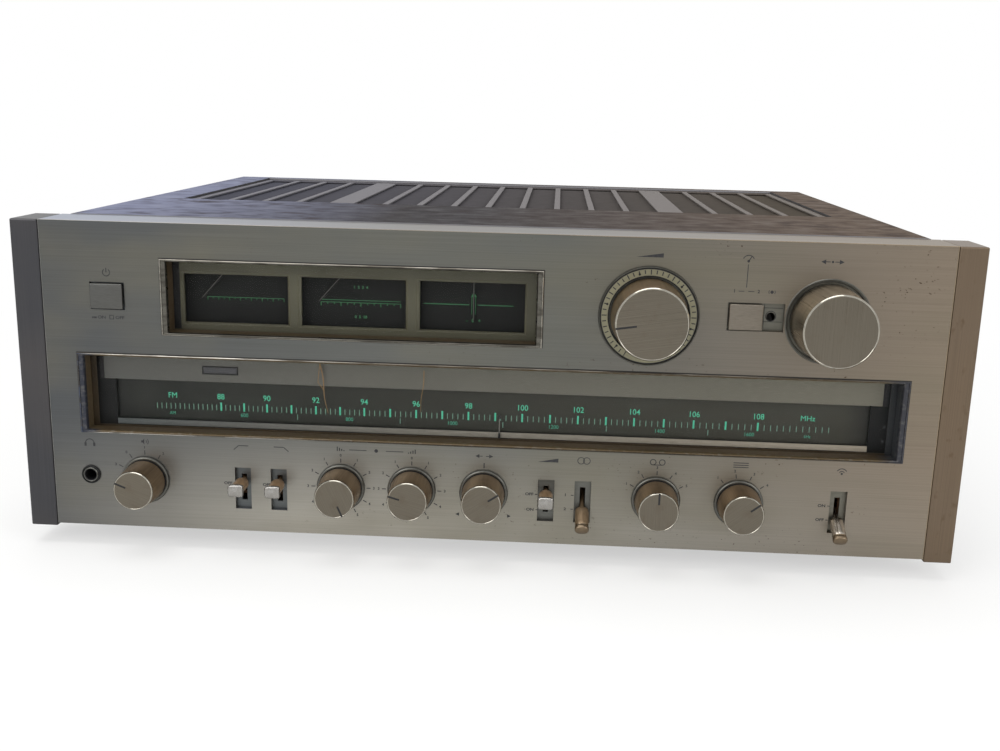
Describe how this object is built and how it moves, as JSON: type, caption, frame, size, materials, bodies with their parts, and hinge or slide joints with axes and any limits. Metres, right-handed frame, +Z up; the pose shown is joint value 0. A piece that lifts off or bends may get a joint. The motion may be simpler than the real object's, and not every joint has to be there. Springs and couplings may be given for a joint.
{
  "type": "stereo receiver",
  "caption": "Wide stereo receiver with an aluminium front, tuning dial and meter windows, turned knobs, bat levers and a vented steel case.",
  "frame": {"origin": "on the ground, under the centre of the bounding box", "axes": "+X to the right seen from the front, +Y from the front panel towards the rear, +Z up"},
  "size_m": [0.5, 0.413, 0.1795],
  "materials": {
    "cheek_aluminium": "satin",
    "chrome": "polished",
    "clear_pane": "clear",
    "cord": "twisted",
    "cream_ring": "satin, printed",
    "dark_plastic": "matt",
    "knob_aluminium": "satin, turned",
    "mask_plastic": "matt olive",
    "needle_paint": "matt paint",
    "nylon": "matt",
    "painted_steel": "satin paint",
    "panel_aluminium": "brushed",
    "phenolic": "matt",
    "rubber": "matt",
    "scale_print": "smoked, printed",
    "zinc_steel": "zinc plated"
  },
  "bodies": {
    "case": {"antenna_terminals": "dark_plastic", "chassis": "zinc_steel", "control_board": "phenolic", "cord_gland": "rubber", "dial_bezel": "chrome", "dial_cord": "cord", "dial_frame": "dark_plastic", "dial_header": "panel_aluminium", "dial_scale": "scale_print", "dial_window": "clear_pane", "foot_front_left": "rubber", "foot_front_right": "rubber", "foot_rear_left": "rubber", "foot_rear_right": "rubber", "front_bracket": "zinc_steel", "front_panel": "panel_aluminium", "headphone_jack": "chrome", "heat_sink": "dark_plastic", "jack_panel": "phenolic", "left_cheek": "cheek_aluminium", "left_meter": "dark_plastic", "main_board": "phenolic", "meter_bezel": "chrome", "meter_mask": "mask_plastic", "meter_window": "clear_pane", "middle_meter": "dark_plastic", "pointer_rail": "panel_aluminium", "power_transformer": "zinc_steel", "rear_panel": "zinc_steel", "right_cheek": "cheek_aluminium", "right_meter": "dark_plastic", "speaker_terminals": "dark_plastic", "top_cover": "painted_steel", "tuning_gang": "zinc_steel", "vent_grille": "painted_steel", "volume_board": "phenolic", "volume_ring": "cream_ring"},
    "power_button": {"power_button": "knob_aluminium"},
    "meter_button": {"meter_button": "knob_aluminium"},
    "volume_knob": {"volume_knob": "knob_aluminium"},
    "speakers_knob": {"speakers_knob": "knob_aluminium"},
    "bass_knob": {"bass_knob": "knob_aluminium"},
    "treble_knob": {"treble_knob": "knob_aluminium"},
    "balance_knob": {"balance_knob": "knob_aluminium"},
    "tape_knob": {"tape_knob": "knob_aluminium"},
    "function_knob": {"function_knob": "knob_aluminium"},
    "low_filter_lever": {"low_filter_lever": "knob_aluminium"},
    "high_filter_lever": {"high_filter_lever": "knob_aluminium"},
    "loudness_lever": {"loudness_lever": "knob_aluminium"},
    "mode_lever": {"mode_lever": "knob_aluminium"},
    "muting_lever": {"muting_lever": "knob_aluminium"},
    "dial_pointer": {"dial_pointer": "needle_paint"},
    "dial_drum": {"dial_drum": "nylon"},
    "cord_idler": {"cord_idler": "nylon"},
    "left_needle": {"left_needle": "needle_paint"},
    "middle_needle": {"middle_needle": "needle_paint"},
    "right_needle": {"right_needle": "needle_paint"},
    "bar_antenna": {"bar_antenna": "dark_plastic"},
    "tuning": {"tuning_knob": "knob_aluminium", "tuning_shaft": "zinc_steel"}
  },
  "joints": [
    {"name": "power_button_push", "type": "slide", "parent": "case", "child": "power_button", "axis": [0, 1, 0], "range_m": [0, 0.0023], "stiffness_N_per_m": 300},
    {"name": "meter_button_push", "type": "slide", "parent": "case", "child": "meter_button", "axis": [0, 1, 0], "range_m": [0, 0.0023], "stiffness_N_per_m": 300},
    {"name": "volume_knob_turn", "type": "hinge", "parent": "case", "child": "volume_knob", "pos_m": [0.0827, -0.1785, 0.1386], "axis": [0, 1, 0], "range_deg": [-51.5, 248.5]},
    {"name": "speakers_knob_turn", "type": "hinge", "parent": "case", "child": "speakers_knob", "pos_m": [-0.18452, -0.1785, 0.0393], "axis": [0, 1, 0], "range_deg": [0, 90]},
    {"name": "bass_knob_turn", "type": "hinge", "parent": "case", "child": "bass_knob", "pos_m": [-0.0775, -0.1785, 0.0393], "axis": [0, 1, 0], "range_deg": [-306, 0]},
    {"name": "treble_knob_turn", "type": "hinge", "parent": "case", "child": "treble_knob", "pos_m": [-0.0391, -0.1785, 0.0393], "axis": [0, 1, 0], "range_deg": [-76, 224]},
    {"name": "balance_knob_turn", "type": "hinge", "parent": "case", "child": "balance_knob", "pos_m": [-0.00028, -0.1785, 0.0393], "axis": [0, 1, 0], "range_deg": [-206, 94]},
    {"name": "tape_knob_turn", "type": "hinge", "parent": "case", "child": "tape_knob", "pos_m": [0.0917, -0.1785, 0.0393], "axis": [0, 1, 0], "range_deg": [-60, 60]},
    {"name": "function_knob_turn", "type": "hinge", "parent": "case", "child": "function_knob", "pos_m": [0.13541, -0.1785, 0.0393], "axis": [0, 1, 0], "range_deg": [-90, 0]},
    {"name": "low_filter_lever_flip", "type": "hinge", "parent": "case", "child": "low_filter_lever", "pos_m": [-0.13099, -0.1625, 0.03999], "axis": [1, 0, 0], "range_deg": [0, 29]},
    {"name": "high_filter_lever_flip", "type": "hinge", "parent": "case", "child": "high_filter_lever", "pos_m": [-0.11139, -0.1625, 0.03999], "axis": [1, 0, 0], "range_deg": [0, 29]},
    {"name": "loudness_lever_flip", "type": "hinge", "parent": "case", "child": "loudness_lever", "pos_m": [0.03318, -0.1625, 0.03999], "axis": [1, 0, 0], "range_deg": [0, 29]},
    {"name": "mode_lever_flip", "type": "hinge", "parent": "case", "child": "mode_lever", "pos_m": [0.05278, -0.1625, 0.03999], "axis": [1, 0, 0], "range_deg": [-29, 0]},
    {"name": "muting_lever_flip", "type": "hinge", "parent": "case", "child": "muting_lever", "pos_m": [0.18772, -0.1625, 0.03999], "axis": [1, 0, 0], "range_deg": [-29, 0]},
    {"name": "tuning_turn", "type": "hinge", "parent": "case", "child": "tuning", "pos_m": [0.1739, -0.1785, 0.1386], "axis": [0, 1, 0], "range_deg": [-1449.67, 1319.52]},
    {"name": "pointer_slide", "type": "slide", "parent": "case", "child": "dial_pointer", "axis": [1, 0, 0], "range_m": [-0.15181, 0.13818]},
    {"name": "drum_turn", "type": "hinge", "parent": "case", "child": "dial_drum", "pos_m": [0.17202, -0.1545, 0.087], "axis": [0, 1, 0], "range_deg": [-282.76, 310.65]},
    {"name": "idler_turn", "type": "hinge", "parent": "case", "child": "cord_idler", "pos_m": [-0.18988, -0.1545, 0.065], "axis": [0, 1, 0], "range_deg": [-1319.53, 1449.68]},
    {"name": "left_needle_swing", "type": "hinge", "parent": "case", "child": "left_needle", "pos_m": [-0.1349, -0.1602, 0.1588], "axis": [0, -1, 0], "range_deg": [0, 86.8], "stiffness_Nm_per_rad": 0.0002},
    {"name": "middle_needle_swing", "type": "hinge", "parent": "case", "child": "middle_needle", "pos_m": [-0.07177, -0.1602, 0.1588], "axis": [0, -1, 0], "range_deg": [0, 86.8], "stiffness_Nm_per_rad": 0.0002},
    {"name": "right_needle_swing", "type": "hinge", "parent": "case", "child": "right_needle", "pos_m": [-0.00864, -0.1602, 0.1588], "axis": [0, -1, 0], "range_deg": [-40, 40], "stiffness_Nm_per_rad": 0.0002},
    {"name": "antenna_swing", "type": "hinge", "parent": "case", "child": "bar_antenna", "pos_m": [0.0752, 0.2005, 0.15], "axis": [0, 0, -1], "range_deg": [0, 90]}
  ],
  "couplings": [
    {"joint": "pointer_slide", "follows": "tuning_turn", "m_per_rad": 0.006},
    {"joint": "drum_turn", "follows": "tuning_turn", "ratio": -0.21429},
    {"joint": "idler_turn", "follows": "tuning_turn", "ratio": -1}
  ]
}
